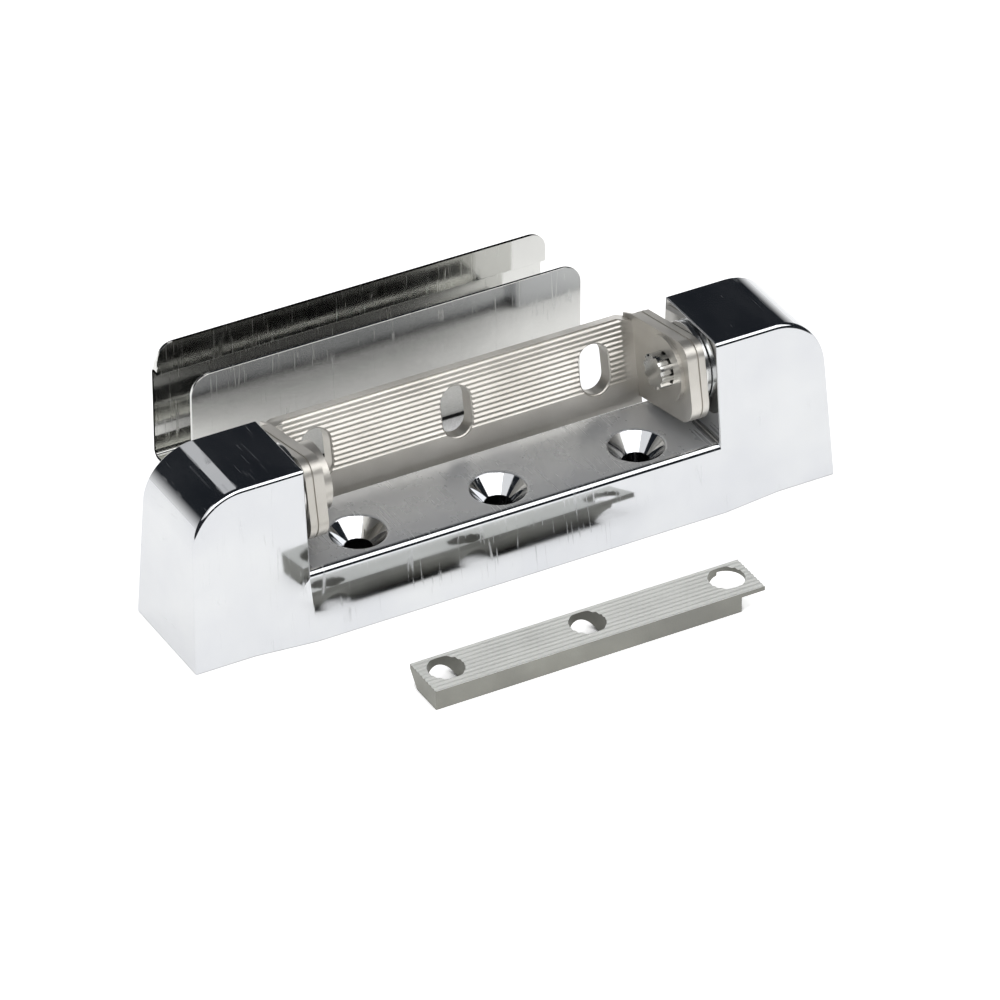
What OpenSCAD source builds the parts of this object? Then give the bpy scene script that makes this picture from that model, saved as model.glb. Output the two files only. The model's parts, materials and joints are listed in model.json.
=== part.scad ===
/* [Housing] */
// Overall length of the housing along the hinge
housing_len = 146; // [140:1:150]
// Depth of the housing at its base
housing_depth = 25.5; // [25:0.5:27]
// Height of the two tall ends
end_h = 37.6; // [37:0.1:39]
// Height of the channel floor between the ends
floor_h = 14.85; // [14:0.05:15]
// Clear width between the two ends
channel_w = 93.2; // [93:0.1:94]
// Radius of the outer top corners
corner_r = 11.5; // [10:0.5:12]

/* [Screws] */
// Distance from one base screw to the next
screw_pitch = 31.75; // [31:0.25:32]
// Diameter of the screw holes
screw_hole_d = 5.8; // [5:0.1:6.5]
// Diameter of the countersinks at the floor
countersink_d = 12; // [11:0.5:13]
// Full angle of the countersinks
sink_angle = 82; // [82:1:90]

/* [Leaf] */
// Angle that the leaf leans past its closed position
lean = 12; // [10:1:14]
// Thickness of the leaf plate
plate_t = 3.7; // [3:0.1:4]
// Thickness of each ear
ear_t = 4; // [3.5:0.1:4]
// Width of the adjusting slots
slot_w = 6.5; // [6:0.1:8]
// Length of the adjusting slots
slot_len = 10.8; // [10:0.1:12]
// Distance from one rib to the next
rib_pitch = 1.08; // [1:0.02:1.1]

/* [Pivots] */
// Height of the pivot axis above the base
axis_z = 28.3; // [28:0.1:28.6]
// Distance of the pivot axis behind the screw line
axis_y = 4; // [3.8:0.1:4.2]
// Diameter over the teeth of the splined shaft
spline_d = 7.6; // [7:0.1:8]
// Number of teeth on the splined shaft
spline_teeth = 10; // [8:1:12]

/* [Loose pieces] */
// Length of the two sheet covers
cover_len = 90; // [88:0.5:91]
// Thickness of the cover sheet
sheet_t = 0.7; // [0.5:0.1:0.8]
// Length of the clamp bar
bar_len = 74.4; // [72:0.2:76]

/* [Hidden] */
$fn = 64;
far = 200;

// Housing: the origin is on the middle screw's axis, in the mounting plane.
front_y = -9.5;
back_y = front_y + housing_depth;
front_draft = 0.1;
flare_y = -11;
flare_end_x = 60;
back_draft = 0.04;
side_draft = 0.05;
floor_t = 4;
floor_back_y = 13.2;
wall_t = 2.6;
channel_half = channel_w / 2;
end_pocket_h = 17.4;
web_t = 2;
post_d = 11;

// Pivot bores in the two ends
bore_r = 6.6;
bore_end_x = 65;
seat_gap = 0.02;
run_gap = 0.05;

// Leaf, drawn upright with the pivot axis at the origin, and then leant back
face_y = 13.65;
plate_bottom = -12.2;
plate_top = 6.6;
ear_front = -8.8;
ear_bottom = -10.6;
ear_top = 7.3;
ear_outer_x = channel_half - 1.4;
ear_inner_x = ear_outer_x - ear_t;
ear_top_r = 3.6;
ear_nose_r = 5;
ear_back_r = 2.4;
left_hub_r = 7.2;
left_hub_h = 2.4;
right_hub_r = 6.9;
right_hub_h = 0.8;
relief_w = 3.6;
relief_h = 1.4;
rib_depth = 0.3;
rib_count = 13;
rib_half_x = 39;
ribs_bottom = ear_top - rib_count * rib_pitch;
inner_fillet_r = 2;
slot_mid_z = -2.2;

// Right end: splined shaft in a spring cartridge
shaft_r = 3.2;
spline_r = spline_d / 2;
spline_root_r = 3.25;
spline_start_x = ear_inner_x - 3.4;
spline_end_x = channel_half - 0.3;
shaft_end_x = 64.6;
tube_r = bore_r - seat_gap;
tube_bore_r = 5.8;
tube_start_x = channel_half + 0.3;
tube_end_x = bore_end_x - 0.1;
bush_len = 4;
anchor_start_x = 60.3;
anchor_end_x = 63;
ring_t = 0.6;
groove_r = 2.6;
ring_r = 4.6;
washer_t = 1.2;
washer_r = 8.6;
pin_r = 1.25;
pin_hole_r = 1.27;
pin_bottom = 18.2;
pin_clear = 0.4;
anchor_pin_x = 61.6;

// Torsion spring
wire_r = 0.7;
coil_r = 4.85;
coil_turns = 5;
coil_start_x = 51.8;
coil_end_x = 59.4;
wire_sides = 8;
turn_steps = 20;
leg_hole_r = 0.8;
leg_depth = 1.6;

// Left end: plain pin in a sleeve
pivot_r = 3.98;
pivot_head_x = ear_inner_x - left_hub_h - 0.3;
pivot_end_x = 64;
pivot_groove_r = 3.2;
pivot_ring_r = 5.4;
sleeve_end_x = 62;
sleeve_pin_x = 58;

// Clamp bar
bar_w = 10.8;
bar_h = 4.5;
bar_front_y = -42.6;
bar_left_x = -37.4;
bar_hole_d = 7.6;
bar_hole_y = -36.3;
bar_body_right_x = 31.7;
bar_tongue_t = 1.1;
bar_taper = 2.9;
bar_ribs = 9;
bar_rib_depth = 0.25;

// Covers
bend_r = 1;
cover_corner_r = 4.5;
foot_len = 5;
flat_y = 46.1;
flat_h = 28.7;
step_y = 61.1;
step_h = 28;
step_strip_h = 6.6;
step_back = 2;
step_corner_r = 3.6;

// Places a shape drawn in the plane across the hinge, x0 to x1 along it
module along_x(x0, x1) {
    translate([x0, 0, 0])
        rotate([90, 0, 90])
            linear_extrude(x1 - x0)
                children();
}

// A round bar on the pivot axis, x0 to x1
module on_axis(x0, x1, r) {
    translate([x0, axis_y, axis_z])
        rotate([0, 90, 0])
            cylinder(h = x1 - x0, r = r);
}

// The same shape at the right end and, mirrored, at the left end
module both_ends() {
    children();
    mirror([1, 0, 0])
        children();
}

// Cross-section of the housing up to height h
module housing_section(h) {
    polygon([
        [front_y, 0],
        [back_y, 0],
        [back_y - back_draft * h, h],
        [front_y + front_draft * h, h]
    ]);
}

// Front outline of the housing, with drafted ends and round outer corners
module housing_outline() {
    half = housing_len / 2;
    mid_z = end_h - corner_r;
    mid_x = half - side_draft * mid_z - corner_r * norm([1, side_draft]);
    low_z = mid_z + corner_r * side_draft;
    low_x = half - side_draft * low_z;
    polygon([
        [-half, 0],
        [half, 0],
        [low_x, low_z],
        [mid_x, mid_z],
        [mid_x, end_h],
        [-mid_x, end_h],
        [-mid_x, mid_z],
        [-low_x, low_z]
    ]);
    for (side = [-1, 1])
        translate([side * mid_x, mid_z])
            circle(r = corner_r);
}

// Lower front between the ends, which leans out further and runs out on both ends
module front_flare() {
    top_y = front_y + front_draft * floor_h;
    inner_y = front_y + wall_t;
    polyhedron(
        points = [
            [-channel_half, top_y, floor_h],
            [channel_half, top_y, floor_h],
            [channel_half, flare_y, 0],
            [-channel_half, flare_y, 0],
            [flare_end_x, front_y, 0],
            [-flare_end_x, front_y, 0],
            [-channel_half, inner_y, floor_h],
            [channel_half, inner_y, floor_h],
            [flare_end_x, inner_y, 0],
            [-flare_end_x, inner_y, 0]
        ],
        faces = [
            [0, 1, 2, 3],
            [1, 4, 2],
            [0, 3, 5],
            [3, 2, 4, 8, 9, 5],
            [0, 6, 7, 1],
            [1, 7, 8, 4],
            [0, 5, 9, 6],
            [6, 9, 8, 7]
        ]
    );
}

module housing_solid() {
    intersection() {
        union() {
            front_flare();
            both_ends()
                along_x(channel_half, housing_len / 2)
                    housing_section(end_h);
            along_x(-channel_half, channel_half)
                intersection() {
                    housing_section(floor_h);
                    translate([front_y - 1, -1])
                        square([floor_back_y - front_y + 1, far]);
                }
        }
        translate([0, far / 2, 0])
            rotate([90, 0, 0])
                linear_extrude(far)
                    housing_outline();
    }
}

// Hollow below the channel floor, open underneath, less the webs and screw posts
module channel_pocket() {
    inner_y = front_y + wall_t;
    pocket_h = floor_h - floor_t;
    difference() {
        along_x(-channel_half + web_t, channel_half - web_t)
            polygon([
                [inner_y, -1],
                [floor_back_y - wall_t, -1],
                [floor_back_y - wall_t, pocket_h],
                [inner_y + front_draft * pocket_h, pocket_h]
            ]);
        for (side = [-1, 1])
            translate([side * screw_pitch / 2 - web_t / 2, front_y, -2])
                cube([web_t, housing_depth, floor_h]);
        for (i = [-1:1])
            translate([i * screw_pitch, 0, -2])
                cylinder(h = floor_h, d = post_d);
    }
}

// Hollow below the pivot bore of one end
module end_pocket() {
    inner_y = front_y + wall_t;
    along_x(channel_half + wall_t, housing_len / 2 - wall_t - 1)
        polygon([
            [inner_y, -1],
            [back_y - wall_t, -1],
            [back_y - wall_t - back_draft * end_pocket_h, end_pocket_h],
            [inner_y + front_draft * end_pocket_h, end_pocket_h]
        ]);
}

module screw_cut() {
    sink_depth = (countersink_d - screw_hole_d) / 2 / tan(sink_angle / 2);
    translate([0, 0, -1])
        cylinder(h = floor_h + 2, d = screw_hole_d);
    translate([0, 0, floor_h - sink_depth])
        cylinder(h = sink_depth + 0.01, d1 = screw_hole_d, d2 = countersink_d + 0.02);
}

module pin_bore(x) {
    translate([x, axis_y, end_pocket_h - 1])
        cylinder(h = axis_z - end_pocket_h, r = pin_hole_r);
}

module housing() {
    color("gainsboro")
        difference() {
            housing_solid();
            channel_pocket();
            both_ends()
                end_pocket();
            for (i = [-1:1])
                translate([i * screw_pitch, 0, 0])
                    screw_cut();
            both_ends()
                on_axis(channel_half - 1, bore_end_x, bore_r);
            pin_bore(anchor_pin_x);
            pin_bore(-sleeve_pin_x);
        }
}

// Section of the ribbed plate, grooves open towards the pivot side
module ribbed_section() {
    back = face_y + plate_t;
    polygon(concat(
        [[back, plate_top], [back, plate_bottom], [face_y, plate_bottom], [face_y, ribs_bottom]],
        [
            for (i = [0:rib_count - 1], p = [[0.15, 0], [0.5, rib_depth], [0.85, 0]])
                [face_y + p[1], ribs_bottom + (i + p[0]) * rib_pitch]
        ],
        [[face_y, ear_top]]
    ));
}

// Section of the plate past the ends of its ribs
module plain_section() {
    back = face_y + plate_t;
    polygon([[face_y, plate_bottom], [back, plate_bottom], [back, plate_top], [face_y, ear_top]]);
}

// Outline of an ear, with a rounded nose in front of the pivot
module ear_outline() {
    back = face_y + plate_t;
    polygon([
        [back, plate_top - ear_back_r],
        [back - ear_back_r, plate_top],
        [face_y, ear_top],
        [ear_front + ear_top_r, ear_top],
        [ear_front, ear_top - ear_top_r],
        [ear_front, ear_bottom + ear_nose_r],
        [ear_front + ear_nose_r, ear_bottom],
        [face_y, ear_bottom],
        [back, plate_bottom]
    ]);
    translate([back - ear_back_r, plate_top - ear_back_r])
        circle(r = ear_back_r);
    translate([ear_front + ear_top_r, ear_top - ear_top_r])
        circle(r = ear_top_r);
    translate([ear_front + ear_nose_r, ear_bottom + ear_nose_r])
        circle(r = ear_nose_r);
}

// Concave round between the plate's face and an ear
module ear_fillet() {
    fillet_z = plate_top - ear_bottom;
    translate([ear_inner_x - inner_fillet_r, face_y - inner_fillet_r, ear_bottom])
        difference() {
            cube([inner_fillet_r + 0.5, inner_fillet_r + 0.5, fillet_z]);
            translate([0, 0, -1])
                cylinder(h = fillet_z + 2, r = inner_fillet_r);
        }
}

// Round boss on the inner side of an ear, of height h
module hub(r, h) {
    translate([ear_inner_x - h, 0, 0])
        rotate([0, 90, 0])
            cylinder(h = h + 1, r = r);
}

// Slope that lowers the top of the plate towards an ear
module top_relief() {
    translate([0, face_y + 2 * plate_t, 0])
        rotate([90, 0, 0])
            linear_extrude(2 * plate_t + 1)
                polygon([
                    [ear_inner_x - relief_w, ear_top],
                    [ear_inner_x, ear_top - relief_h],
                    [ear_inner_x, ear_top + 1],
                    [ear_inner_x - relief_w, ear_top + 1]
                ]);
}

module slot_cut() {
    straight = slot_len - slot_w;
    for (end = [-1, 1])
        translate([0, 0, end * straight / 2])
            rotate([-90, 0, 0])
                cylinder(h = 2 * plate_t, d = slot_w);
    translate([-slot_w / 2, 0, -straight / 2])
        cube([slot_w, 2 * plate_t, straight]);
}

module leaf_upright() {
    difference() {
        union() {
            along_x(-rib_half_x, rib_half_x)
                ribbed_section();
            both_ends() {
                along_x(rib_half_x, ear_inner_x + 0.5)
                    plain_section();
                along_x(ear_inner_x, ear_outer_x)
                    ear_outline();
                ear_fillet();
            }
            hub(right_hub_r, right_hub_h);
            mirror([1, 0, 0])
                hub(left_hub_r, left_hub_h);
        }
        both_ends()
            top_relief();
        for (i = [-1:1])
            translate([i * screw_pitch, face_y - 1, slot_mid_z])
                slot_cut();
        rotate([0, 90, 0])
            cylinder(h = far, r = spline_r + seat_gap);
        rotate([0, -90, 0])
            cylinder(h = far, r = pivot_r + seat_gap);
    }
}

module leaf() {
    color("tan")
        translate([0, axis_y, axis_z])
            rotate([-lean, 0, 0])
                leaf_upright();
}

// Toothed outline of the splined shaft's end
module spline_outline() {
    step = 360 / spline_teeth;
    intersection() {
        circle(r = spline_r);
        polygon([
            for (i = [0:spline_teeth - 1], p = [[-0.3, 0], [-0.17, 1], [0.17, 1], [0.3, 0]])
                let (r = spline_root_r + p[1] * (spline_r + 0.3 - spline_root_r))
                    [r * cos((i + p[0]) * step), r * sin((i + p[0]) * step)]
        ]);
    }
}

module spline_shaft() {
    color("lightgray")
        difference() {
            union() {
                translate([spline_start_x, axis_y, axis_z])
                    rotate([90, 0, 90])
                        linear_extrude(spline_end_x - spline_start_x)
                            spline_outline();
                on_axis(spline_end_x, shaft_end_x, shaft_r);
            }
            shaft_groove();
            translate([coil_start_x, axis_y, axis_z + shaft_r - leg_depth])
                cylinder(h = 2 * leg_depth, r = leg_hole_r);
        }
}

module shaft_groove() {
    difference() {
        on_axis(anchor_end_x + 0.2, anchor_end_x + 0.3 + ring_t, shaft_r + 1);
        on_axis(anchor_end_x, anchor_end_x + 1 + ring_t, groove_r);
    }
}

// Retaining ring with an open side, x0 to x0 + ring_t
module open_ring(x0, inner_r, outer_r) {
    difference() {
        on_axis(x0, x0 + ring_t, outer_r);
        on_axis(x0 - 1, x0 + 1 + ring_t, inner_r + seat_gap);
        translate([x0 - 1, axis_y - 0.7 * inner_r, axis_z - 2 * outer_r])
            cube([2 + ring_t, 1.4 * inner_r, 2 * outer_r]);
    }
}

module shaft_ring() {
    color("dimgray")
        open_ring(anchor_end_x + 0.25, groove_r, ring_r);
}

module pivot_pin() {
    ring_x = sleeve_end_x + 0.25;
    color("lightgray")
        difference() {
            on_axis(-pivot_end_x, -pivot_head_x, pivot_r);
            difference() {
                on_axis(-ring_x - ring_t - 0.05, -ring_x + 0.05, pivot_r + 1);
                on_axis(-ring_x - 1 - ring_t, -ring_x + 1, pivot_groove_r);
            }
        }
}

module pin_ring() {
    color("dimgray")
        open_ring(-sleeve_end_x - 0.25 - ring_t, pivot_groove_r, pivot_ring_r);
}

// Flat ring between an ear and the housing's end
module thrust_washer(x0, hole_r) {
    difference() {
        on_axis(x0, x0 + washer_t, washer_r);
        on_axis(x0 - 1, x0 + 1 + washer_t, hole_r);
    }
}

module right_thrust_washer() {
    color("silver")
        thrust_washer(ear_outer_x + 0.1, spline_r + run_gap);
}

module left_thrust_washer() {
    color("silver")
        thrust_washer(-ear_outer_x - 0.1 - washer_t, pivot_r + run_gap);
}

module cartridge_tube() {
    color("slategray")
        difference() {
            on_axis(tube_start_x, tube_end_x, tube_r);
            on_axis(tube_start_x - 1, tube_end_x + 1, tube_bore_r);
            pin_bore(anchor_pin_x);
        }
}

module shaft_bush() {
    color("peru")
        difference() {
            on_axis(tube_start_x, tube_start_x + bush_len, tube_bore_r - seat_gap);
            on_axis(tube_start_x - 1, tube_start_x + bush_len + 1, shaft_r + run_gap);
        }
}

module spring_guide() {
    color("ivory")
        difference() {
            on_axis(coil_start_x + 1.2, anchor_start_x - 0.1, coil_r - wire_r - 0.2);
            on_axis(coil_start_x, anchor_start_x + 1, shaft_r + run_gap);
        }
}

// Wire centre along the coil, t from 0 to 1
function coil_point(t) =
    let (a = 90 + 360 * coil_turns * t)
        [
            coil_start_x + (coil_end_x - coil_start_x) * t,
            coil_r * cos(a),
            coil_r * sin(a)
        ];

// The whole wire: a leg into the shaft, the coil, and a leg into the anchor
function spring_path() = concat(
    [[coil_start_x, 0, shaft_r - leg_depth + 0.3], [coil_start_x, 0, coil_r - 1.6]],
    [for (i = [0:coil_turns * turn_steps]) coil_point(i / (coil_turns * turn_steps))],
    [[coil_end_x + 1.4, 0, coil_r], [coil_end_x + 2.4, 0, coil_r]]
);

// Ring of the wire's section round path point i, at right angles to the path
function wire_ring(path, i) =
    let (
        last = len(path) - 1,
        way = path[min(i + 1, last)] - path[max(i - 1, 0)],
        t = way / norm(way),
        u = cross(t, [1, 0, 0.01]),
        side = u / norm(u),
        up = cross(side, t)
    )
        [
            for (k = [0:wire_sides - 1])
                let (a = 360 * k / wire_sides)
                    path[i] + wire_r * (cos(a) * side + sin(a) * up)
        ];

module torsion_spring() {
    path = spring_path();
    n = len(path);
    s = wire_sides;
    points = [for (i = [0:n - 1]) each wire_ring(path, i)];
    skin = [
        for (i = [0:n - 2], k = [0:s - 1])
            let (a = i * s + k, b = i * s + (k + 1) % s)
                each [[a, b, a + s], [b, b + s, a + s]]
    ];
    caps = [[for (k = [s - 1:-1:0]) k], [for (k = [0:s - 1]) (n - 1) * s + k]];
    color("dimgray")
        translate([0, axis_y, axis_z])
            polyhedron(points = points, faces = concat(skin, caps), convexity = 10);
}

module spring_anchor() {
    color("darkgray")
        difference() {
            on_axis(anchor_start_x, anchor_end_x, tube_bore_r - seat_gap);
            on_axis(anchor_start_x - 1, anchor_end_x + 1, shaft_r + run_gap);
            translate([0, 0, coil_r])
                on_axis(anchor_start_x - 1, coil_end_x + 2.6, leg_hole_r);
            pin_bore(anchor_pin_x);
        }
}

// Upright pin through the bottom of a pivot bore, up to height top
module lock_pin(x, top) {
    translate([x, axis_y, pin_bottom])
        cylinder(h = top - pin_bottom, r = pin_r);
}

module cartridge_pin() {
    color("gray")
        lock_pin(anchor_pin_x, axis_z - shaft_r - pin_clear);
}

module pivot_sleeve() {
    color("peru")
        difference() {
            on_axis(-sleeve_end_x, -tube_start_x, tube_r);
            on_axis(-sleeve_end_x - 1, -tube_start_x + 1, pivot_r + run_gap);
            pin_bore(-sleeve_pin_x);
        }
}

module sleeve_pin() {
    color("gray")
        lock_pin(-sleeve_pin_x, axis_z - pivot_r - pin_clear);
}

// Section of the clamp bar: ribbed top, and a body that tapers at the back
module bar_section(tongue_only) {
    rib = bar_w / bar_ribs;
    low_z = tongue_only ? bar_h - bar_tongue_t : 0;
    polygon(concat(
        [[0, low_z], [0, bar_h]],
        [
            for (i = [0:bar_ribs - 1], p = [[0.2, 0], [0.5, bar_rib_depth], [0.8, 0]])
                [(i + p[0]) * rib, bar_h - p[1]]
        ],
        [[bar_w, bar_h], [bar_w, bar_h - bar_tongue_t]],
        tongue_only ? [] : [[bar_w - bar_taper, 0]]
    ));
}

module clamp_bar() {
    color("darkgray")
        difference() {
            translate([0, bar_front_y, 0]) {
                along_x(bar_left_x, bar_body_right_x)
                    bar_section(false);
                along_x(bar_left_x, bar_left_x + bar_len)
                    bar_section(true);
            }
            for (i = [-1:1])
                translate([i * screw_pitch, bar_hole_y, -1])
                    cylinder(h = bar_h + 2, d = bar_hole_d);
        }
}

// A sheet seen from its end: an upright, a bend and a foot
module standing_section(h) {
    outer_r = bend_r + sheet_t;
    translate([0, outer_r])
        square([sheet_t, h - outer_r]);
    translate([outer_r, 0])
        square([foot_len, sheet_t]);
    translate([outer_r, outer_r])
        intersection() {
            difference() {
                circle(r = outer_r);
                circle(r = bend_r);
            }
            translate([-outer_r, -outer_r])
                square(outer_r);
        }
}

// Trims a sheet to the cover length, with the two top corners rounded
module round_top_corners(y, h, r) {
    half = cover_len / 2;
    intersection() {
        translate([0, y, 0])
            children();
        translate([0, far, 0])
            rotate([90, 0, 0])
                linear_extrude(2 * far) {
                    translate([-half, -1])
                        square([cover_len, h + 1 - r]);
                    translate([r - half, -1])
                        square([cover_len - 2 * r, h + 1]);
                    for (side = [-1, 1])
                        translate([side * (half - r), h - r])
                            circle(r = r);
                }
    }
}

module flat_cover() {
    color("whitesmoke")
        round_top_corners(flat_y, flat_h, cover_corner_r)
            along_x(-cover_len / 2, cover_len / 2)
                standing_section(flat_h);
}

module stepped_cover() {
    strip_z = step_h - step_strip_h;
    color("lightsteelblue")
        round_top_corners(step_y, step_h, step_corner_r)
            along_x(-cover_len / 2, cover_len / 2) {
                translate([0, strip_z])
                    square([sheet_t, step_strip_h]);
                translate([0, strip_z - sheet_t])
                    square([step_back + sheet_t, sheet_t]);
                translate([step_back + sheet_t, 0])
                    mirror([1, 0])
                        standing_section(strip_z);
            }
}

housing();
leaf();
spline_shaft();
shaft_ring();
pivot_pin();
pin_ring();
right_thrust_washer();
left_thrust_washer();
cartridge_tube();
shaft_bush();
spring_guide();
torsion_spring();
spring_anchor();
cartridge_pin();
pivot_sleeve();
sleeve_pin();
clamp_bar();
flat_cover();
stepped_cover();
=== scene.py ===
"""Looks for a self-closing concealed hinge: chromed housing, ribbed leaf, clamp bar and two covers."""

import json
import math

import bmesh
import bpy
from mathutils import Matrix, Vector

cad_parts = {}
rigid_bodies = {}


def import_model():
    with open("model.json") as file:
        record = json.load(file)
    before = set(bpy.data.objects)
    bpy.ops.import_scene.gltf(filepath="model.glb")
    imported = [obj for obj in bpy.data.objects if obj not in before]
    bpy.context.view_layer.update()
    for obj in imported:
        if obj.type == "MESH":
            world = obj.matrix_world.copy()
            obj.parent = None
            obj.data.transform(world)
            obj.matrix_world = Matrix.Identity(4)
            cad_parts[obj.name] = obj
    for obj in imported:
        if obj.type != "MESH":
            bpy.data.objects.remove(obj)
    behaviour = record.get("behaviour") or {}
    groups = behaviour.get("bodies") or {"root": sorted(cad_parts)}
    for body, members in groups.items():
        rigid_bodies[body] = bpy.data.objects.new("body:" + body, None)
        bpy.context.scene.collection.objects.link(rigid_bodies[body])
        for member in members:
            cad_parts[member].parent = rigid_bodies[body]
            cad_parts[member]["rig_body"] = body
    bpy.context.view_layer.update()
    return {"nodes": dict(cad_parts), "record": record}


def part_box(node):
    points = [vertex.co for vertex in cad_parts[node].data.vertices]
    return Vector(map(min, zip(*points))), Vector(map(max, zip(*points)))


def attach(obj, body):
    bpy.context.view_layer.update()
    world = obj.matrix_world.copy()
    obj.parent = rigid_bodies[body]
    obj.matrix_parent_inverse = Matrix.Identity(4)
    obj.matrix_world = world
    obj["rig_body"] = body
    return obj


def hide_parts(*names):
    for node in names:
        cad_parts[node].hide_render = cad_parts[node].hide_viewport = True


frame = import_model()

# ---------------------------------------------------------------- sizes in millimetres, as in the CAD
MM = 0.001

HOUSING_LOW, HOUSING_HIGH = (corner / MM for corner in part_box("housing"))
HOUSING_HALF = HOUSING_HIGH.x
HOUSING_TOP = HOUSING_HIGH.z
FRONT_Y = -9.5
BACK_Y = HOUSING_HIGH.y
FRONT_DRAFT = 0.1
BACK_DRAFT = 0.04
SIDE_DRAFT = 0.05
CORNER_R = 11.5
CHANNEL_HALF = 46.6
FLOOR_TOP = 14.85
FLOOR_T = 4
FLOOR_BACK_Y = 13.2
WALL_T = 2.6
WEB_T = 2
POST_R = 5.5
END_POCKET_TOP = 17.4
FLARE_Y = HOUSING_LOW.y
FLARE_END_X = 60
LIP_R = 1.3
EDGE_SHARE, UPRIGHT_SHARE = 0.2, 0.8
SIDE_SHARE, ROUND_SHARE = 0.25, 0.6
LARGE_FACE = 60 * MM * MM
LARGE_FACE_ANGLE = math.radians(1.5)

SCREW_PITCH = 31.75
SCREW_X = (-SCREW_PITCH, 0, SCREW_PITCH)
SCREW_R = 2.9
SINK_R = 6
SINK_HALF_ANGLE = math.radians(41)
SINK_RIM_R = 0.8

AXIS_Y, AXIS_Z = 4, 28.3
BORE_R = 6.6
BORE_END_X = 65
PIN_HOLE_R = 1.27
PIN_HOLE_X = (61.6, -58)

LEAN = math.radians(12)
FACE_Y = 13.65
PLATE_T = 3.7
PLATE_BOTTOM, PLATE_TOP = -12.2, 6.6
EAR_IN, EAR_OUT = 41.2, 45.2
EAR_FRONT, EAR_BOTTOM, EAR_TOP = -8.8, -10.6, 7.3
EAR_TOP_R, EAR_NOSE_R, EAR_BACK_R = 3.6, 5, 2.4
EAR_LINE_X, EAR_LINE_DEPTH = 43.4, 0.3
HUBS = {-1: (7.2, 2.4), 1: (6.9, 0.8)}
RELIEF_W, RELIEF_H = 3.6, 1.4
FILLET_R = 2
RIB_PITCH, RIB_DEPTH, RIB_COUNT = 1.08, 0.3, 13
RIB_HALF_X = 39
SLOT_W, SLOT_LEN, SLOT_MID_Z = 6.5, 10.8, -2.2
SPLINE_HOLE_R, PIVOT_HOLE_R = 3.82, 4.0

BAR_LOW, BAR_HIGH = (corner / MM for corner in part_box("clamp_bar"))
BAR_BODY_END_X = 31.7
BAR_TONGUE_T = 1.1
BAR_TAPER = 2.9
BAR_RIBS, BAR_RIB_DEPTH = 9, 0.25
BAR_HOLE_R, BAR_HOLE_Y = 3.8, -36.3

SHEET_T = 0.7
BEND_R = 1.7
FLAT_LOW, FLAT_HIGH = (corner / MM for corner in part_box("flat_cover"))
STEP_LOW, STEP_HIGH = (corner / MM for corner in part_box("stepped_cover"))
FLAT_CORNER_R, STEP_CORNER_R = 4.5, 3.6
STEP_STRIP_H, STEP_BACK, STEP_BEND_R = 6.6, 2, 0.35
STEP_Y = STEP_HIGH.y - SHEET_T


# ---------------------------------------------------------------- mesh building
def new_object(name, mesh):
    obj = bpy.data.objects.new(name, mesh)
    bpy.context.scene.collection.objects.link(obj)
    return obj


def edit(obj, change):
    """Runs change on a bmesh of obj's mesh and puts the result back."""
    bm = bmesh.new()
    bm.from_mesh(obj.data)
    change(bm)
    bm.to_mesh(obj.data)
    bm.free()


def solid(name, points, faces):
    """A closed mesh object from points in millimetres."""
    mesh = bpy.data.meshes.new(name)
    mesh.from_pydata([Vector(p) * MM for p in points], [], faces)
    obj = new_object(name, mesh)
    edit(obj, lambda bm: bmesh.ops.recalc_face_normals(bm, faces=bm.faces))
    return obj


def loft(name, rings):
    """A closed solid through rings of equally many points, with a flat cap at each end."""
    n = len(rings[0])
    points = [p for ring in rings for p in ring]
    faces = [
        (i * n + k, i * n + (k + 1) % n, (i + 1) * n + (k + 1) % n, (i + 1) * n + k)
        for i in range(len(rings) - 1)
        for k in range(n)
    ]
    faces.append(tuple(reversed(range(n))))
    faces.append(tuple(range((len(rings) - 1) * n, len(rings) * n)))
    return solid(name, points, faces)


def along_x(name, section, x0, x1):
    return loft(name, [[(x, y, z) for y, z in section] for x in (x0, x1)])


def along_y(name, outline, y0, y1):
    return loft(name, [[(x, y, z) for x, z in outline] for y in (y0, y1)])


def box(name, low, high):
    (x0, y0, z0), (x1, y1, z1) = low, high
    return along_x(name, [(y0, z0), (y1, z0), (y1, z1), (y0, z1)], x0, x1)


def turned(name, profile, centre, axis, steps=96):
    """A solid of revolution: profile is (radius, distance along axis) pairs from end to end."""
    turn = Vector(axis).to_track_quat("Z", "Y").to_matrix()
    rings = []
    for r, h in profile:
        ring = []
        for k in range(steps):
            a = math.tau * k / steps
            ring.append(Vector(centre) + turn @ Vector((r * math.cos(a), r * math.sin(a), h)))
        rings.append(ring)
    return loft(name, rings)


def arc(cx, cy, r, start, end, steps):
    """Points on an arc, with both ends, from angle start to angle end in degrees."""
    angles = [math.radians(start + (end - start) * i / steps) for i in range(steps + 1)]
    return [(cx + r * math.cos(a), cy + r * math.sin(a)) for a in angles]


def bake(obj):
    """Turns obj's modifiers into plain mesh."""
    bpy.context.view_layer.update()
    graph = bpy.context.evaluated_depsgraph_get()
    mesh = bpy.data.meshes.new_from_object(obj.evaluated_get(graph))
    obj.modifiers.clear()
    obj.data = mesh


def combine(target, others, operation):
    """Joins others to target, or cuts them from it, and removes them."""
    for other in others:
        step = target.modifiers.new("combine", "BOOLEAN")
        step.object = other
        step.operation = operation
        step.solver = "EXACT"
    bake(target)
    for other in others:
        bpy.data.objects.remove(other)
    return target


def tidy(bm):
    bmesh.ops.remove_doubles(bm, verts=bm.verts, dist=0.5e-6)
    bmesh.ops.dissolve_degenerate(bm, edges=bm.edges, dist=0.5e-6)


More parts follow.
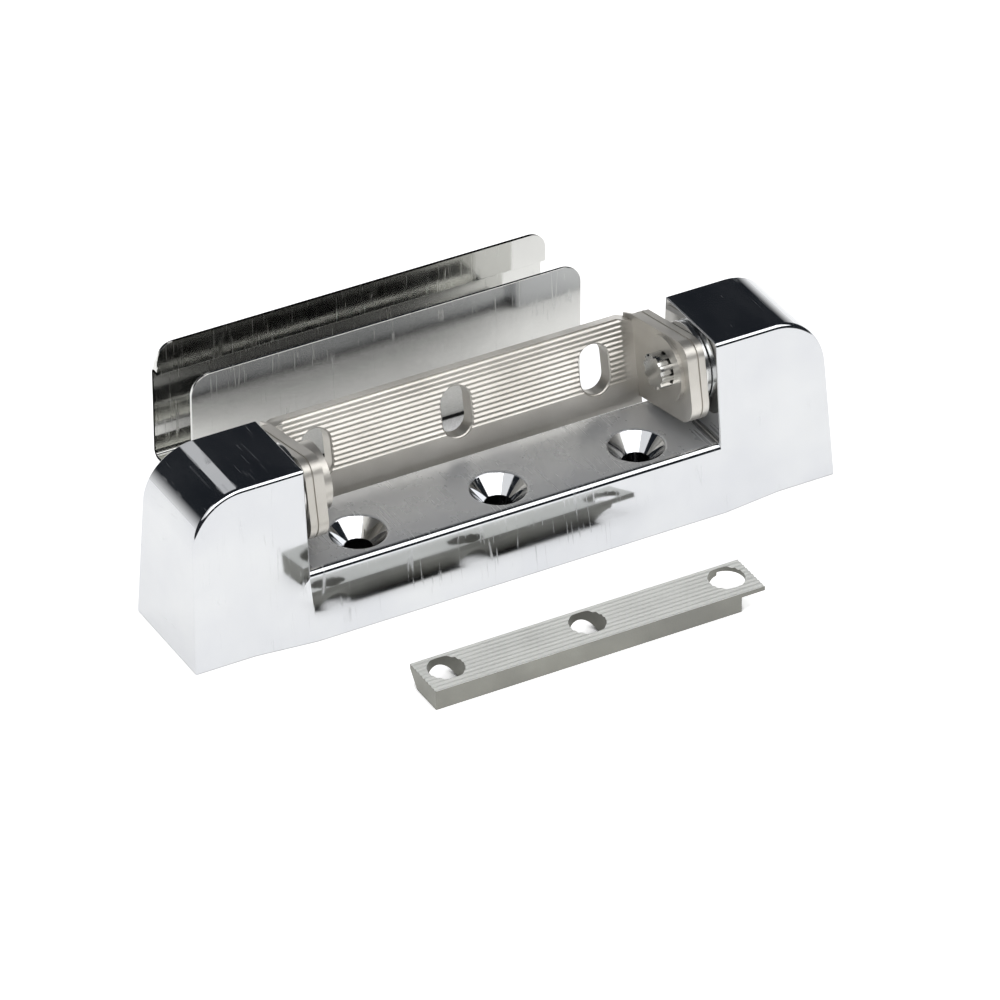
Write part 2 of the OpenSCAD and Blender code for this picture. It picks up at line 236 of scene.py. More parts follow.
def round_edges(obj, radius, segments, weight=lambda a, b: 1, least_angle=30):
    """Rounds obj's sharp edges. weight gives the share of radius for an edge from a to b."""

    def weigh(bm):
        tidy(bm)
        layer = bm.edges.layers.float.new("bevel_weight_edge")
        for edge in bm.edges:
            if len(edge.link_faces) == 2 and edge.calc_face_angle() > math.radians(least_angle):
                edge[layer] = weight(*(v.co / MM for v in edge.verts))

    edit(obj, weigh)
    step = obj.modifiers.new("round", "BEVEL")
    step.limit_method = "WEIGHT"
    step.width = radius * MM
    step.segments = segments
    bake(obj)
    return obj


def smooth(obj, angle=32):
    """Smooth shading that keeps flat faces flat and edges above angle sharp."""
    edit(obj, tidy)
    obj.data.shade_smooth()
    obj.data.set_sharp_from_angle(angle=math.radians(angle))
    step = obj.modifiers.new("flat_faces", "WEIGHTED_NORMAL")
    step.keep_sharp = True
    return obj


def part_flats(bm):
    """Keeps large flat faces from being shaded into each other."""
    for edge in bm.edges:
        large = all(face.calc_area() > LARGE_FACE for face in edge.link_faces)
        if len(edge.link_faces) == 2 and large and edge.calc_face_angle() > LARGE_FACE_ANGLE:
            edge.smooth = False


def place(obj, node, body, slot):
    """Makes obj stand for a CAD node and ride on its body."""
    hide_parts(node)
    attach(obj, body)
    obj.data.materials.clear()
    obj.data.materials.append(MATERIALS[slot])


# ---------------------------------------------------------------- materials
def node_kit(name):
    """A new material with its tree, its Principled shader and a function that adds a node."""
    material = bpy.data.materials.new(name)
    material.use_nodes = True
    tree = material.node_tree

    def add(kind, **values):
        node = tree.nodes.new(kind)
        for key, value in values.items():
            if hasattr(node, key):
                setattr(node, key, value)
            else:
                node.inputs[key.replace("_", " ").capitalize()].default_value = value
        return node

    return material, tree, tree.nodes["Principled BSDF"], add


def noise(tree, add, coordinates, scale, detail=2, stretch=(1, 1, 1), turn=(0, 0, 0)):
    """Noise on the object's own coordinates, stretched and turned. Gives its value from 0 to 1."""
    mapping = add("ShaderNodeMapping")
    mapping.inputs["Scale"].default_value = stretch
    mapping.inputs["Rotation"].default_value = [math.radians(a) for a in turn]
    tree.links.new(coordinates, mapping.inputs["Vector"])
    texture = add("ShaderNodeTexNoise", Scale=scale, Detail=detail)
    tree.links.new(mapping.outputs["Vector"], texture.inputs["Vector"])
    return texture.outputs["Fac"]


def remap(tree, add, value, low, high, to_low, to_high):
    """Maps low..high to to_low..to_high, and holds it there."""
    node = add("ShaderNodeMapRange")
    node.inputs["From Min"].default_value = low
    node.inputs["From Max"].default_value = high
    node.inputs["To Min"].default_value = to_low
    node.inputs["To Max"].default_value = to_high
    tree.links.new(value, node.inputs["Value"])
    return node.outputs["Result"]


def maths(tree, add, operation, a, b=None):
    node = add("ShaderNodeMath")
    node.operation = operation
    for socket, value in zip(node.inputs, (a, b)):
        if isinstance(value, (int, float)):
            socket.default_value = value
        elif value is not None:
            tree.links.new(value, socket)
    return node.outputs["Value"]


def scratches(tree, add, coordinates, turns, scale, width, cover):
    """Sparse hairline scratches: 1 on a scratch and 0 off it, on the share cover of the surface."""
    stretch = (1, 0.03, 0.03)
    patch_scale, patch_turn, patch_edge = 170, 40, 0.08
    total = 0
    for turn in turns:
        line = noise(tree, add, coordinates, scale, 1, stretch, turn)
        away = maths(tree, add, "ABSOLUTE", maths(tree, add, "SUBTRACT", line, 0.5))
        thin = remap(tree, add, away, 0, width, 1, 0)
        turned_patch = tuple(a + patch_turn for a in turn)
        patch = noise(tree, add, coordinates, patch_scale, 1, (1, 1, 1), turned_patch)
        here = remap(tree, add, patch, 1 - cover, 1 - cover + patch_edge, 0, 1)
        total = maths(tree, add, "MAXIMUM", total, maths(tree, add, "MULTIPLY", thin, here))
    return total


def floor_mask(tree, add, coordinates):
    """1 on the channel floor behind its front lip, 0 elsewhere."""
    split = add("ShaderNodeSeparateXYZ")
    tree.links.new(coordinates, split.inputs["Vector"])
    above = maths(tree, add, "SUBTRACT", split.outputs["Z"], FLOOR_TOP * MM)
    off_floor = maths(tree, add, "ABSOLUTE", above)
    across = maths(tree, add, "ABSOLUTE", split.outputs["X"])
    level = remap(tree, add, off_floor, 0.1 * MM, 0.3 * MM, 1, 0)
    inside = remap(
        tree, add, across, (CHANNEL_HALF - 1.2) * MM, (CHANNEL_HALF - 0.4) * MM, 1, 0
    )
    behind = remap(tree, add, split.outputs["Y"], -7.3 * MM, -6.8 * MM, 0, 1)
    return maths(tree, add, "MULTIPLY", level, maths(tree, add, "MULTIPLY", inside, behind))


def metal(
    name, colour, tint, roughness, bump_height, bump_scale,
    scratch=None, haze=(0, 0.02), frost=None, painted_top_light=None
):
    """A bare or plated metal: cloudy colour, haze and roughness, fine grain, scratches if given.

    frost is the extra haze and roughness of the channel floor. The last argument, if given, is a
    lighter colour painted on faces that look up: painted light, for the light that falls on their tops.
    """
    material, tree, shader, add = node_kit(name)
    coordinates = add("ShaderNodeTexCoord").outputs["Object"]
    veil = noise(tree, add, coordinates, 130, 4, (1, 0.4, 1), (0, 0, 25))
    bare = remap(tree, add, veil, 0.35, 0.7, 1 - haze[0], 1 - haze[1])

    clouds = noise(tree, add, coordinates, 60, 4)
    mix = add("ShaderNodeMix")
    mix.data_type = "RGBA"
    mix.inputs[6].default_value = (*colour, 1)
    mix.inputs[7].default_value = (*tint, 1)
    tree.links.new(remap(tree, add, clouds, 0.35, 0.65, 0, 1), mix.inputs["Factor"])
    paint = mix.outputs[2]
    # Painted light: faces that look up are blended towards a lighter colour, for the light falling on
    # them.
    if painted_top_light:
        normal = add("ShaderNodeSeparateXYZ")
        tree.links.new(add("ShaderNodeTexCoord").outputs["Normal"], normal.inputs["Vector"])
        top = add("ShaderNodeMix")
        top.data_type = "RGBA"
        top.inputs[7].default_value = (*painted_top_light, 1)
        tree.links.new(paint, top.inputs[6])
        tree.links.new(remap(tree, add, normal.outputs["Z"], 0.5, 0.9, 0, 1), top.inputs["Factor"])
        paint = top.outputs[2]
    tree.links.new(paint, shader.inputs["Base Color"])

    smudges = noise(tree, add, coordinates, 110, 5)
    rough = remap(tree, add, smudges, 0.3, 0.75, *roughness)
    grain = noise(tree, add, coordinates, bump_scale, 3)
    height = maths(tree, add, "MULTIPLY", grain, bump_height)
    if frost:
        mask = floor_mask(tree, add, coordinates)
        bare = maths(tree, add, "SUBTRACT", bare, maths(tree, add, "MULTIPLY", mask, frost[0]))
        rough = maths(tree, add, "ADD", rough, maths(tree, add, "MULTIPLY", mask, frost[1]))
    tree.links.new(bare, shader.inputs["Metallic"])
    if scratch:
        lines = scratches(tree, add, coordinates, **scratch["lines"])
        dulled = maths(tree, add, "MULTIPLY", lines, scratch["roughness"])
        cut = maths(tree, add, "MULTIPLY", lines, scratch["depth"])
        rough = maths(tree, add, "ADD", rough, dulled)
        height = maths(tree, add, "SUBTRACT", height, cut)
    tree.links.new(rough, shader.inputs["Roughness"])
    bump = add("ShaderNodeBump", Strength=1.0)
    bump.inputs["Distance"].default_value = 1
    tree.links.new(height, bump.inputs["Height"])
    tree.links.new(bump.outputs["Normal"], shader.inputs["Normal"])
    return material


HAIRLINES = {
    "lines": {
        "turns": [(0, 20, 15), (0, -35, 70), (30, 75, -20), (0, 110, 40)],
        "scale": 260,
        "width": 0.012,
        "cover": 0.46,
    },
    "roughness": 0.22,
    "depth": 0.4e-6,
}

MATERIALS = {
    "polished_chrome": metal(
        "polished_chrome", (0.62, 0.63, 0.64), (0.58, 0.59, 0.61), (0.03, 0.09), 0.2e-6, 900,
        HAIRLINES, frost=(0.5, 0.22)
    ),
    "mirror_stainless": metal(
        "mirror_stainless", (0.66, 0.66, 0.64), (0.62, 0.62, 0.6), (0.05, 0.11), 0.3e-6, 500,
        HAIRLINES
    ),
    "satin_nickel_cast": metal(
        "satin_nickel_cast", (0.6, 0.58, 0.54), (0.5, 0.48, 0.44), (0.3, 0.42), 26e-6, 3200,
        haze=(0.1, 0.3)
    ),
    # The clamp bar's upward faces are painted lighter than its dark sides: painted light on its top.
    "blasted_zinc": metal(
        "blasted_zinc", (0.27, 0.27, 0.24), (0.2, 0.2, 0.18), (0.42, 0.6), 40e-6, 2600,
        haze=(0.6, 0.8), painted_top_light=(0.78, 0.79, 0.76)
    ),
    "bright_steel": metal(
        "bright_steel", (0.68, 0.68, 0.66), (0.6, 0.6, 0.59), (0.12, 0.22), 2e-6, 1500
    ),
    "washer_steel": metal(
        "washer_steel", (0.66, 0.66, 0.65), (0.58, 0.58, 0.57), (0.14, 0.24), 2e-6, 1500
    ),
    "zinc_plated_steel": metal(
        "zinc_plated_steel", (0.56, 0.58, 0.6), (0.5, 0.52, 0.5), (0.28, 0.4), 4e-6, 1800
    ),
    "spring_steel": metal(
        "spring_steel", (0.2, 0.2, 0.21), (0.13, 0.12, 0.12), (0.3, 0.45), 4e-6, 2000
    ),
    "bronze": metal("bronze", (0.5, 0.33, 0.17), (0.38, 0.24, 0.12), (0.38, 0.5), 8e-6, 2600),
}


def nylon():
    """Moulded natural nylon: cloudy, slightly waxy."""
    material, tree, shader, add = node_kit("nylon")
    coordinates = add("ShaderNodeTexCoord").outputs["Object"]
    mix = add("ShaderNodeMix")
    mix.data_type = "RGBA"
    mix.inputs[6].default_value = (0.78, 0.75, 0.67, 1)
    mix.inputs[7].default_value = (0.86, 0.84, 0.78, 1)
    tree.links.new(noise(tree, add, coordinates, 150, 3), mix.inputs["Factor"])
    tree.links.new(mix.outputs[2], shader.inputs["Base Color"])
    grain = noise(tree, add, coordinates, 700, 3)
    tree.links.new(remap(tree, add, grain, 0.3, 0.7, 0.42, 0.55), shader.inputs["Roughness"])
    shader.inputs["Subsurface Weight"].default_value = 0.15
    shader.inputs["Subsurface Radius"].default_value = (0.002, 0.0015, 0.001)
    return material


MATERIALS["nylon"] = nylon()


# ---------------------------------------------------------------- housing
def housing_outline():
    """Front outline: two tall ends and a channel, drafted sides and round outer corners."""
    draft = math.degrees(math.atan(SIDE_DRAFT))
    mid_z = HOUSING_TOP - CORNER_R
    mid_x = HOUSING_HALF - SIDE_DRAFT * mid_z - CORNER_R * math.hypot(1, SIDE_DRAFT)
    right = [(HOUSING_HALF, 0), *arc(mid_x, mid_z, CORNER_R, draft, 90, 20)]
    right += [(CHANNEL_HALF, HOUSING_TOP), (CHANNEL_HALF, FLOOR_TOP)]
    return right + [(-x, z) for x, z in reversed(right)]


def front_flare():
    """Lower front between the ends, which leans out further and runs out on both ends."""
    top_y = FRONT_Y + FRONT_DRAFT * FLOOR_TOP
    right = [
        (CHANNEL_HALF, top_y, FLOOR_TOP),
        (CHANNEL_HALF, FLARE_Y, 0),
        (FLARE_END_X, FRONT_Y, 0),
        (CHANNEL_HALF, FRONT_Y + 1, 0),
    ]
    left = [(-x, y, z) for x, y, z in right]
    faces = [
        (0, 4, 5, 1), (0, 1, 2), (4, 6, 5), (1, 5, 6, 7, 3, 2), (0, 2, 3), (4, 7, 6), (0, 3, 7, 4)
    ]
    return solid("front_flare", right + left, faces)


def housing_block():
    outline = housing_outline()
    front = [(x, FRONT_Y + FRONT_DRAFT * z, z) for x, z in outline]
    back = [(x, BACK_Y - BACK_DRAFT * z, z) for x, z in outline]
    block = loft("housing_shell", [front, back])
    low_back = box(
        "low_back", (-CHANNEL_HALF, FLOOR_BACK_Y, -1), (CHANNEL_HALF, BACK_Y + 1, FLOOR_TOP + 1)
    )
    combine(block, [low_back], "DIFFERENCE")
    combine(block, [front_flare()], "UNION")

    def weight(a, b):
        at_bottom = max(a.z, b.z) < 0.01
        at_back = min(a.y, b.y) > FLOOR_BACK_Y - 1
        if at_bottom or at_back or abs(a.y - b.y) > 1:
            return EDGE_SHARE
        if max(abs(a.x), abs(b.x)) < CHANNEL_HALF + 0.01:
            return 1 if abs(a.x - b.x) > 1 else UPRIGHT_SHARE
        above_sides = ((a.z + b.z) / 2 - HOUSING_TOP + CORNER_R) / CORNER_R
        return SIDE_SHARE + ROUND_SHARE * min(max(above_sides, 0), 1)

    return round_edges(block, LIP_R, 6, weight)


def screw_hole(x):
    """Cutter for a countersunk hole whose rim is rounded over."""
    sink_z = FLOOR_TOP - (SINK_R - SCREW_R) / math.tan(SINK_HALF_ANGLE)
    turn = 90 - math.degrees(SINK_HALF_ANGLE)
    reach = SINK_RIM_R * math.tan(math.radians(turn / 2))
    rim = [
        (SINK_R + reach - SINK_RIM_R * math.sin(math.radians(a)),
         FLOOR_TOP - SINK_RIM_R * (1 - math.cos(math.radians(a))))
        for a in (turn, 0.75 * turn, 0.5 * turn, 0.25 * turn, 4)
    ]
    profile = [(SCREW_R, -1), (SCREW_R, sink_z), *rim, (SINK_R + reach + 0.05, FLOOR_TOP + 0.01)]
    profile.append((SINK_R + reach + 0.05, FLOOR_TOP + 2))
    return turned("screw_hole", profile, (x, 0, 0), (0, 0, 1))


def pocket_section(back_y, top, back_slope):
    """Section of a hollow that is open underneath and follows the front's draft."""
    inner_y = FRONT_Y + WALL_T
    return [
        (inner_y - FRONT_DRAFT, -1),
        (back_y + back_slope, -1),
        (back_y - back_slope * top, top),
        (inner_y + FRONT_DRAFT * top, top),
    ]


def housing_hollows():
    """Cutters for the hollows underneath, less the webs and the posts round the screws."""
    section = pocket_section(FLOOR_BACK_Y - WALL_T, FLOOR_TOP - FLOOR_T, 0)
    half_web = WEB_T / 2
    walls = (-CHANNEL_HALF + WEB_T, -SCREW_PITCH / 2, SCREW_PITCH / 2, CHANNEL_HALF - WEB_T)
    cutters = []
    for i, x in enumerate(SCREW_X):
        low = walls[i] + (half_web if i > 0 else 0)
        high = walls[i + 1] - (half_web if i < 2 else 0)
        cell = along_x("cell", section, low, high)
        post = turned("post", [(POST_R, -2), (POST_R, FLOOR_TOP)], (x, 0, 0), (0, 0, 1))
        cutters.append(combine(cell, [post], "DIFFERENCE"))
    section = pocket_section(BACK_Y - WALL_T, END_POCKET_TOP, BACK_DRAFT)
    for side in (-1, 1):
        ends = sorted((side * (CHANNEL_HALF + WALL_T), side * (HOUSING_HALF - WALL_T - 1)))
        cutters.append(along_x("end_cell", section, *ends))
    return cutters


def make_housing():
    block = housing_block()
    cutters = [screw_hole(x) for x in SCREW_X] + housing_hollows()
    for side in (-1, 1):
        profile = [(BORE_R, CHANNEL_HALF - 1), (BORE_R, BORE_END_X)]
        cutters.append(turned("bore", profile, (0, AXIS_Y, AXIS_Z), (side, 0, 0)))
    for x in PIN_HOLE_X:
        profile = [(PIN_HOLE_R, END_POCKET_TOP - 1), (PIN_HOLE_R, AXIS_Z)]
        cutters.append(turned("pin_hole", profile, (x, AXIS_Y, 0), (0, 0, 1), 32))
    combine(block, cutters, "DIFFERENCE")
    smooth(block)
    edit(block, part_flats)
    place(block, "housing", "base", "polished_chrome")


# ---------------------------------------------------------------- leaf
def upright_to_row(obj):
    """Leans the leaf back about the pivot axis and puts it in its place."""
    turn = Matrix.Translation(Vector((0, AXIS_Y, AXIS_Z)) * MM) @ Matrix.Rotation(-LEAN, 4, "X")
    obj.data.transform(turn)
    return obj


def leaf_plate():
    """Plate whose ribs run out shortly before its ends."""
    steps = 6
    ribs_bottom = EAR_TOP - RIB_COUNT * RIB_PITCH
    back = FACE_Y + PLATE_T

    def section(depth):
        grooves = []
        for k in range(RIB_COUNT * steps + 1):
            cut = depth * (1 - math.cos(math.tau * k / steps)) / 2
            grooves.append((FACE_Y + cut, ribs_bottom + k * RIB_PITCH / steps))
        return [(back, PLATE_TOP), (back, PLATE_BOTTOM), (FACE_Y, PLATE_BOTTOM), *grooves]

    stations = [(-EAR_IN - 0.5, 0), (-RIB_HALF_X, 0), (0.6 - RIB_HALF_X, 1)]
    stations += [(-x, share) for x, share in reversed(stations)]
    return loft(
        "ribbed_leaf", [[(x, y, z) for y, z in section(RIB_DEPTH * share)] for x, share in stations]
    )


def ear_outline(inset):
    back = FACE_Y + PLATE_T
    return [
        (back - inset, PLATE_BOTTOM + inset),
        *arc(back - EAR_BACK_R, PLATE_TOP - EAR_BACK_R, EAR_BACK_R - inset, 0, 90, 8),
        (FACE_Y, EAR_TOP - inset),
        *arc(EAR_FRONT + EAR_TOP_R, EAR_TOP - EAR_TOP_R, EAR_TOP_R - inset, 90, 180, 12),
        *arc(EAR_FRONT + EAR_NOSE_R, EAR_BOTTOM + EAR_NOSE_R, EAR_NOSE_R - inset, 180, 270, 14),
        (FACE_Y, EAR_BOTTOM + inset),
    ]


def ear(side):
    """An ear with a fine parting line round its rim and a round hub on its inner side."""
    stations = [(EAR_IN, 0), (EAR_LINE_X, 0), (EAR_LINE_X + 0.1, EAR_LINE_DEPTH)]
    stations += [(EAR_LINE_X + 0.3, EAR_LINE_DEPTH), (EAR_LINE_X + 0.4, 0), (EAR_OUT, 0)]
    plate = loft("ear", [[(side * x, y, z) for y, z in ear_outline(inset)] for x, inset in stations])
    radius, height = HUBS[side]
    hub = turned("hub", [(radius, EAR_IN + 1), (radius, EAR_IN - height)], (0, 0, 0), (side, 0, 0), 64)
    return combine(plate, [hub], "UNION")


def top_relief(side):
    """Cutter that slopes the plate's top edge down towards an ear."""
    near, far = side * EAR_IN, side * (EAR_IN - RELIEF_W)
    outline = [(far, EAR_TOP), (near, EAR_TOP - RELIEF_H), (near, EAR_TOP + 1), (far, EAR_TOP + 1)]
    return along_y("relief", outline, FACE_Y - 1, FACE_Y + 2 * PLATE_T)


def stadium(x, z, half_w, half_straight, steps=16):
    upper = arc(x, z + half_straight, half_w, 0, 180, steps)
    lower = arc(x, z - half_straight, half_w, 180, 360, steps)
    return upper + lower


def slot_cutter(x):
    """Upright slot with a narrow rounded rim on the ribbed side."""
    half_straight = (SLOT_LEN - SLOT_W) / 2
    rim = 0.4
    ledge_y = FACE_Y + RIB_DEPTH
    stations = [(FACE_Y - 2, rim), (ledge_y, rim), (ledge_y + 0.1, 0.4 * rim), (ledge_y + 0.35, 0)]
    stations.append((FACE_Y + PLATE_T + 1, 0))
    return loft(
        "slot",
        [
            [(px, y, pz) for px, pz in stadium(x, SLOT_MID_Z, SLOT_W / 2 + grow, half_straight)]
            for y, grow in stations
        ],
    )


def make_leaf():
    leaf = combine(leaf_plate(), [ear(-1), ear(1)], "UNION")
    combine(leaf, [top_relief(-1), top_relief(1)], "DIFFERENCE")

    def weight(a, b):
        inner = all(abs(abs(p.x) - EAR_IN) < 0.05 and abs(p.y - FACE_Y) < 0.05 for p in (a, b))
        in_ribs = all(abs(p.x) < EAR_IN - 1 and p.y < FACE_Y + RIB_DEPTH + 0.05 for p in (a, b))
        on_top = all(p.z > PLATE_TOP - 0.01 for p in (a, b))
        in_line = all(EAR_LINE_X - 0.01 < abs(p.x) < EAR_LINE_X + 0.41 for p in (a, b))
        on_hub = all(
            abs(p.x) < EAR_IN + 0.05 and math.hypot(p.y, p.z) < HUBS[-1][0] + 0.1 for p in (a, b)
        )
        if inner:
            return 1
        if in_line or in_ribs and not on_top:
            return 0
        return 0.14 if on_hub else 0.2

    round_edges(leaf, FILLET_R, 5, weight)
    cutters = [slot_cutter(x) for x in SCREW_X]
    for side, r in ((1, SPLINE_HOLE_R), (-1, PIVOT_HOLE_R)):
        profile = [(r, EAR_IN - 5), (r, EAR_OUT + 5)]
        cutters.append(turned("pivot_hole", profile, (0, 0, 0), (side, 0, 0), 64))
    combine(leaf, cutters, "DIFFERENCE")
    place(smooth(upright_to_row(leaf), 40), "leaf", "swinging_leaf", "satin_nickel_cast")


# ---------------------------------------------------------------- clamp bar
def bar_section(low_z, taper):
    """Section of the bar with its fine ribs on top and its back face tapering in by taper."""
    steps = 6
    pitch = (BAR_HIGH.y - BAR_LOW.y) / BAR_RIBS
    ribs = []
    for k in range(BAR_RIBS * steps + 1):
        depth = BAR_RIB_DEPTH * (1 - math.cos(math.tau * k / steps)) / 2
        ribs.append((BAR_LOW.y + k * pitch / steps, BAR_HIGH.z - depth))
    back = [(BAR_HIGH.y, BAR_HIGH.z - BAR_TONGUE_T)]
    if taper:
        back.append((BAR_HIGH.y - taper, low_z))
    return [(BAR_LOW.y, low_z), *ribs, *back]


def make_clamp_bar():
    bar = along_x("ribbed_bar", bar_section(0, BAR_TAPER), BAR_LOW.x, BAR_BODY_END_X)
    thin = bar_section(BAR_HIGH.z - BAR_TONGUE_T, 0)
    tongue = along_x("tongue", thin, BAR_BODY_END_X - 1, BAR_HIGH.x)
    combine(bar, [tongue], "UNION")
    round_edges(bar, 0.3, 3, least_angle=45)
    profile = [(BAR_HOLE_R, -1), (BAR_HOLE_R, BAR_HIGH.z + 1)]
    cutters = [turned("bar_hole", profile, (x, BAR_HOLE_Y, 0), (0, 0, 1)) for x in SCREW_X]
    combine(bar, cutters, "DIFFERENCE")
    place(smooth(bar), "clamp_bar", "loose_bar", "blasted_zinc")


# ---------------------------------------------------------------- covers
def thick_sheet(path, thickness):
    """Closed section of a sheet whose front and under side follow path, thickened to its left."""
    inner = []
    last = len(path) - 1
    for i, point in enumerate(path):
        way = Vector(path[min(i + 1, last)]) - Vector(path[max(i - 1, 0)])
        way.normalize()
        inner.append((point[0] - way.y * thickness, point[1] + way.x * thickness))
    return path + inner[::-1]


def rounded_sheet(name, section, low, high, corner_r):
    """Sheet along X with its two top corners rounded and its edges softened."""
    sheet = along_x(name, section, low.x, high.x)
    outline = [
        (low.x, -1),
        (high.x, -1),
        *arc(high.x - corner_r, high.z - corner_r, corner_r, 0, 90, 14),
        *arc(low.x + corner_r, high.z - corner_r, corner_r, 90, 180, 14),
    ]
    trim = along_y("trim", outline, low.y - 5, high.y + 5)
    combine(sheet, [trim], "INTERSECT")
    round_edges(sheet, 0.15, 2, least_angle=60)
    return smooth(sheet, 50)


def make_covers():
    path = [(FLAT_LOW.y, FLAT_HIGH.z)]
    path += arc(FLAT_LOW.y + BEND_R, BEND_R, BEND_R, 180, 270, 8)
    path.append((FLAT_HIGH.y, 0))
    section = thick_sheet(path, SHEET_T)
    flat = rounded_sheet("flat_sheet_cover", section, FLAT_LOW, FLAT_HIGH, FLAT_CORNER_R)
    place(flat, "flat_cover", "loose_flat_cover", "mirror_stainless")

    ledge_z = STEP_HIGH.z - STEP_STRIP_H - SHEET_T
    strip_y = STEP_Y - STEP_BACK
    r = STEP_BEND_R
    inner_r = BEND_R - SHEET_T
    path = [(strip_y, STEP_HIGH.z)]
    path += arc(strip_y + r, ledge_z + r, r, 180, 270, 4)
    path += arc(STEP_Y - r, ledge_z - r, r, 90, 0, 4)
    path += arc(STEP_Y - inner_r, BEND_R, inner_r, 0, -90, 8)
    path.append((STEP_LOW.y, SHEET_T))
    section = thick_sheet(path, SHEET_T)
    stepped = rounded_sheet("stepped_sheet_cover", section, STEP_LOW, STEP_HIGH, STEP_CORNER_R)
    place(stepped, "stepped_cover", "loose_stepped_cover", "mirror_stainless")


# ---------------------------------------------------------------- pins, rings, cartridge
def refined(node, radius, piece):
    """A copy of a CAD node, its triangles merged into clean faces and its edges rounded."""
    obj = new_object(piece, frame["nodes"][node].data.copy())

    def merge(bm):
        tidy(bm)
        bmesh.ops.dissolve_limit(bm, angle_limit=math.radians(1), verts=bm.verts, edges=bm.edges)

    edit(obj, merge)
    round_edges(obj, radius, 3)
    smooth(obj)
    body = frame["nodes"][node]["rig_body"]
    slots = {part["node"]: part["material_slot"] for part in frame["record"]["subparts"]}
    place(obj, node, body, slots[node])


def make_small_parts():
    refined("spline_shaft", 0.12, "toothed_shaft")
    refined("pivot_pin", 0.25, "plain_pivot_pin")
    refined("right_thrust_washer", 0.2, "right_washer")
    refined("left_thrust_washer", 0.2, "left_washer")
    refined("shaft_ring", 0.1, "shaft_retaining_ring")
    refined("pin_ring", 0.1, "pin_retaining_ring")
    refined("cartridge_tube", 0.15, "spring_tube")
    refined("shaft_bush", 0.15, "bronze_shaft_bush")
    refined("spring_guide", 0.1, "nylon_spring_guide")
    refined("spring_anchor", 0.15, "spring_anchor_disc")
    refined("cartridge_pin", 0.2, "cartridge_lock_pin")
    refined("pivot_sleeve", 0.15, "bronze_pivot_sleeve")
    refined("sleeve_pin", 0.2, "sleeve_lock_pin")
    frame["nodes"]["torsion_spring"].data.materials.clear()
    frame["nodes"]["torsion_spring"].data.materials.append(MATERIALS["spring_steel"])


# ---------------------------------------------------------------- floor, light and camera
TABLE_GLOW = 0.68
DOME = 0.75
SKY_NEAR_TABLE, SKY_HIGH = (1, 1, 1, 1), (0.018, 0.021, 0.026, 1)


def make_floor():
    bm = bmesh.new()
    bmesh.ops.create_circle(bm, cap_ends=True, radius=6, segments=96)
    mesh = bpy.data.meshes.new("floor")
    bm.to_mesh(mesh)
    bm.free()
    floor = new_object("floor", mesh)
    material, tree, shader, add = node_kit("white_table_with_painted_shade")
    coordinates = add("ShaderNodeTexCoord").outputs["Object"]
    shader.inputs["Emission Color"].default_value = (1, 1, 1, 1)
    grain = noise(tree, add, coordinates, 4, 2)
    tree.links.new(remap(tree, add, grain, 0.3, 0.7, 0.6, 0.75), shader.inputs["Roughness"])
    # Painted shade: ambient occlusion turns the table's glow off and its colour nearly black in
    # sheltered spots near and between parts, such as the gap between the covers; in the open the table
    # glows evenly.
    painted_shade_occlusion = add("ShaderNodeAmbientOcclusion")
    painted_shade_occlusion.samples = 16
    painted_shade_occlusion.inputs["Distance"].default_value = 0.1
    glow = remap(tree, add, painted_shade_occlusion.outputs["AO"], 0.28, 0.48, 0, TABLE_GLOW)
    white = remap(tree, add, painted_shade_occlusion.outputs["AO"], 0.25, 0.45, 0.02, 0.88)
    tree.links.new(white, shader.inputs["Base Color"])
    tree.links.new(glow, shader.inputs["Emission Strength"])
    mesh.materials.append(material)


def softbox(name, azimuth, elevation, distance, width, height, radiance):
    """A glowing panel that faces the object. azimuth runs from the front towards +X.

    Only gloss sees it. Matt surfaces are lit by the world and by the table's own glow.
    """
    light = bpy.data.lights.new(name, "AREA")
    light.shape = "RECTANGLE"
    light.size = width
    light.size_y = height
    light.energy = radiance * math.pi * width * height
    lamp = new_object(name, light)
    a, e = math.radians(azimuth), math.radians(elevation)
    way = Vector((math.sin(a) * math.cos(e), -math.cos(a) * math.cos(e), math.sin(e)))
    lamp.location = way * distance
    lamp.rotation_euler = way.to_track_quat("Z", "Y").to_euler()
    lamp.visible_diffuse = False


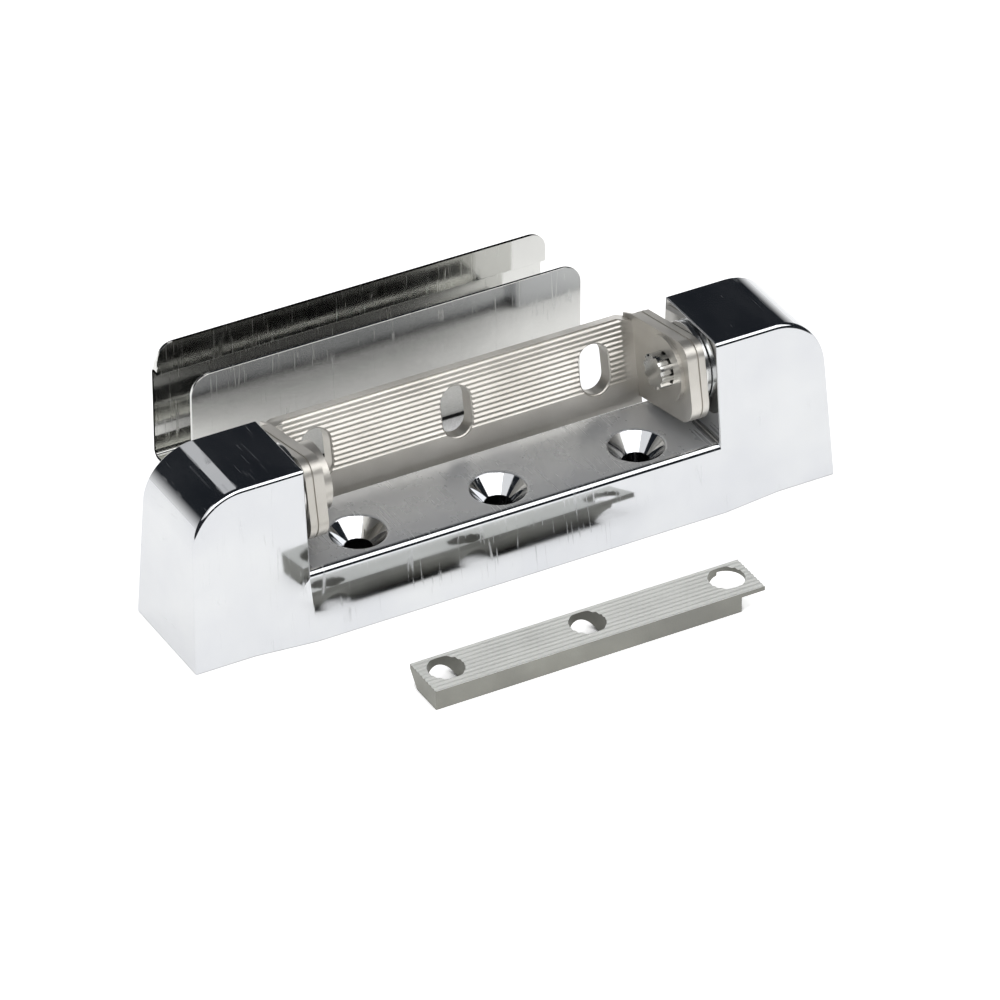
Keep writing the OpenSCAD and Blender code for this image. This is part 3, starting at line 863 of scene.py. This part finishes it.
def make_lights():
    """Panels for the gloss, and a world that is white near the table and dark above for reflections."""
    softbox("left_panel", -68, 47, 1.4, 1.2, 0.7, 1.1)
    softbox("front_panel", -16, 47, 1.4, 1.2, 0.7, 2.6)
    softbox("right_panel", 40, 50, 1.4, 1.3, 0.8, 2.4)
    softbox("back_strip", 171.5, 42.5, 1.5, 0.47, 0.7, 0.7)
    world = bpy.data.worlds.new("studio")
    bpy.context.scene.world = world
    world.use_nodes = True
    tree = world.node_tree
    backdrop = tree.nodes["Background"]

    def add(kind):
        return tree.nodes.new(kind)

    split = add("ShaderNodeSeparateXYZ")
    tree.links.new(add("ShaderNodeTexCoord").outputs["Generated"], split.inputs["Vector"])
    behind = maths(tree, add, "MAXIMUM", split.outputs["Y"], 0)
    reach = maths(tree, add, "ADD", maths(tree, add, "MULTIPLY", behind, 0.3), 0.06)
    height = maths(tree, add, "DIVIDE", split.outputs["Z"], reach)
    ramp = add("ShaderNodeValToRGB")
    ramp.color_ramp.elements[0].position = 0.1
    ramp.color_ramp.elements[0].color = SKY_NEAR_TABLE
    ramp.color_ramp.elements[1].position = 1
    ramp.color_ramp.elements[1].color = SKY_HIGH
    tree.links.new(height, ramp.inputs["Fac"])
    dome = add("ShaderNodeMix")
    dome.data_type = "RGBA"
    dome.inputs[7].default_value = (DOME, DOME, DOME, 1)
    tree.links.new(add("ShaderNodeLightPath").outputs["Is Diffuse Ray"], dome.inputs["Factor"])
    tree.links.new(ramp.outputs["Color"], dome.inputs[6])
    tree.links.new(dome.outputs[2], backdrop.inputs["Color"])


CAMERA_AZIMUTH, CAMERA_ELEVATION = math.radians(-28.985), math.radians(34.15)
CAMERA_TARGET = Vector((0.003635, 0.00581, 0.00731))
CAMERA_DISTANCE = 1.5585
CAMERA_LENS, CAMERA_SENSOR = 279.2, 36


def make_camera():
    """Looks down on the front of the object from its left, from far away."""
    azimuth, elevation = CAMERA_AZIMUTH, CAMERA_ELEVATION
    way = Vector((
        math.sin(azimuth) * math.cos(elevation),
        -math.cos(azimuth) * math.cos(elevation),
        math.sin(elevation),
    ))
    lens = bpy.data.cameras.new("camera")
    lens.lens = CAMERA_LENS
    lens.sensor_width = CAMERA_SENSOR
    lens.clip_start = 0.05
    camera = new_object("camera", lens)
    camera.location = CAMERA_TARGET + way * CAMERA_DISTANCE
    camera.rotation_euler = way.to_track_quat("Z", "Y").to_euler()
    bpy.context.scene.camera = camera
    bpy.context.scene.view_settings.view_transform = "Standard"


make_housing()
make_leaf()
make_clamp_bar()
make_covers()
make_small_parts()
make_floor()
make_lights()
make_camera()
